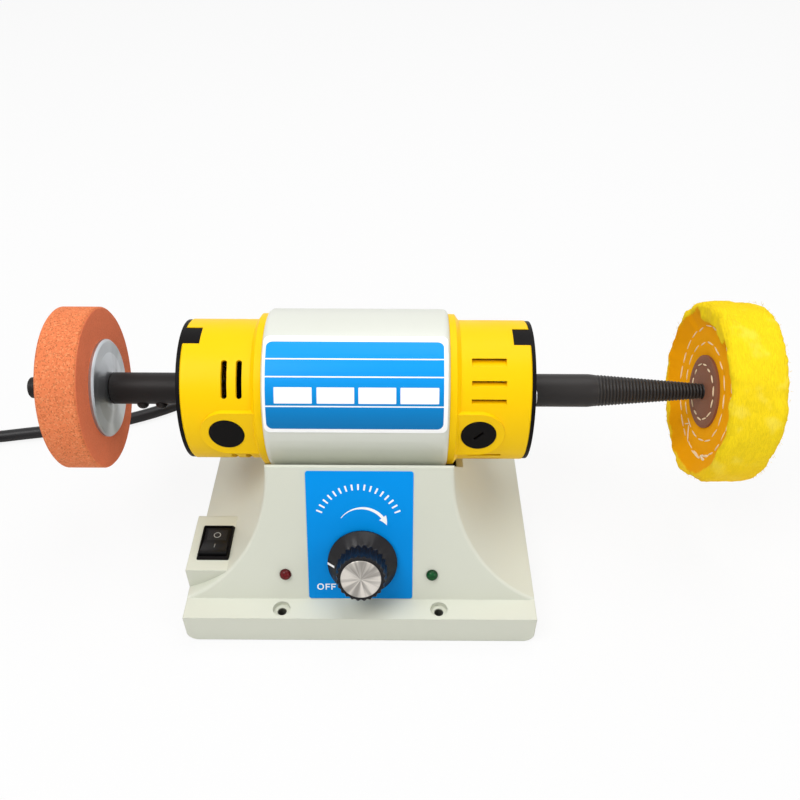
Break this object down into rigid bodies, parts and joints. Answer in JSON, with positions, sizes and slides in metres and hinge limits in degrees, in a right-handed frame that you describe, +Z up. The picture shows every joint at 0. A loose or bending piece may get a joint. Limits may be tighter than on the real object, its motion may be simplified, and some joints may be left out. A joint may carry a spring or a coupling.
{
  "type": "dental polishing lathe",
  "caption": "Bench polishing and buffing lathe: moulded base with a cradled motor, grinding wheel on the left arbor, cotton buff on the right taper spindle, speed knob and rocker switch.",
  "frame": {"origin": "on the bench, in the middle of the base and of its bench screw holes", "axes": "+X along the motor shaft towards the buff, +Y to the back, +Z up"},
  "size_m": [0.5068, 0.2418, 0.1229],
  "materials": {
    "cream_moulding": "satin moulded",
    "cream_paint": "satin paint",
    "plate_steel": "zinc plated sheet",
    "black_rubber": "matt",
    "screw_steel": "machined",
    "blue_label": "printed film",
    "yellow_plastic": "moulded",
    "black_plastic": "fine grained",
    "brass": "turned",
    "carbon": "pressed carbon",
    "spring_steel": "drawn",
    "core_steel": "stacked laminations",
    "copper_winding": "varnished wire",
    "shaft_steel": "ground",
    "blackened_steel": "black oxide",
    "zinc_steel": "zinc plated",
    "grinding_stone": "bonded grit",
    "yellow_cotton": "brushed cotton",
    "brown_leather": "plain",
    "rocker_plastic": "moulded",
    "red_lens": "translucent lens",
    "green_lens": "translucent lens",
    "spun_aluminium": "spun",
    "green_board": "coated board",
    "black_cord": "smooth jacket"
  },
  "bodies": {
    "base": {"base_housing": "cream_moulding", "bearing_outer_rings": "shaft_steel", "blank_plugs": "black_plastic", "board_spacers": "black_plastic", "bottom_plate": "plate_steel", "bottom_screws": "screw_steel", "brush_caps": "black_plastic", "brush_holders": "brass", "brush_springs": "spring_steel", "carbon_brushes": "carbon", "control_board": "green_board", "cord_coil": "black_cord", "cord_gland": "black_rubber", "cord_tie": "black_plastic", "end_plate_screws": "screw_steel", "field_coils": "copper_winding", "filter_capacitor": "black_plastic", "filter_choke": "black_plastic", "green_lamp": "green_lens", "heat_sink": "spun_aluminium", "left_end_cap": "yellow_plastic", "left_end_plate": "black_plastic", "motor_barrel": "cream_paint", "panel_label": "blue_label", "plug_pins": "zinc_steel", "power_cord": "black_cord", "power_plug": "black_plastic", "rating_label": "blue_label", "red_lamp": "red_lens", "right_end_cap": "yellow_plastic", "right_end_plate": "black_plastic", "ring_nut": "zinc_steel", "rubber_feet": "black_rubber", "saddle_screws": "screw_steel", "speed_control": "shaft_steel", "stator_core": "core_steel", "switch_frame": "black_plastic", "terminal_block": "green_board"},
    "rotor": {"motor_shaft": "shaft_steel", "armature_core": "core_steel", "armature_windings": "copper_winding", "commutator": "brass", "cooling_fan": "black_plastic", "bearing_inner_rings": "shaft_steel", "bearing_balls": "shaft_steel", "left_arbor": "blackened_steel", "arbor_set_screws": "screw_steel", "inner_flange": "zinc_steel", "grinding_wheel": "grinding_stone", "outer_flange": "zinc_steel", "arbor_nut": "zinc_steel", "taper_spindle": "blackened_steel", "spindle_grub_screws": "screw_steel", "buffing_wheel": "yellow_cotton", "leather_discs": "brown_leather"},
    "knob": {"speed_knob": "black_plastic", "knob_cap": "spun_aluminium", "dial_shaft": "zinc_steel"},
    "rocker": {"switch_rocker": "rocker_plastic"}
  },
  "joints": [
    {"name": "spindle_spin", "type": "hinge", "parent": "base", "child": "rotor", "pos_m": [0, 0.0071, 0.0814], "axis": [1, 0, 0], "continuous": true},
    {"name": "knob_turn", "type": "hinge", "parent": "base", "child": "knob", "pos_m": [0.00105, -0.05821, 0.03399], "axis": [0, 0.9107, -0.4131], "range_deg": [-45, 225]},
    {"name": "rocker_tilt", "type": "hinge", "parent": "base", "child": "rocker", "pos_m": [-0.0687, -0.0428, 0.0269], "axis": [1, 0, 0], "range_deg": [0, 14]}
  ]
}
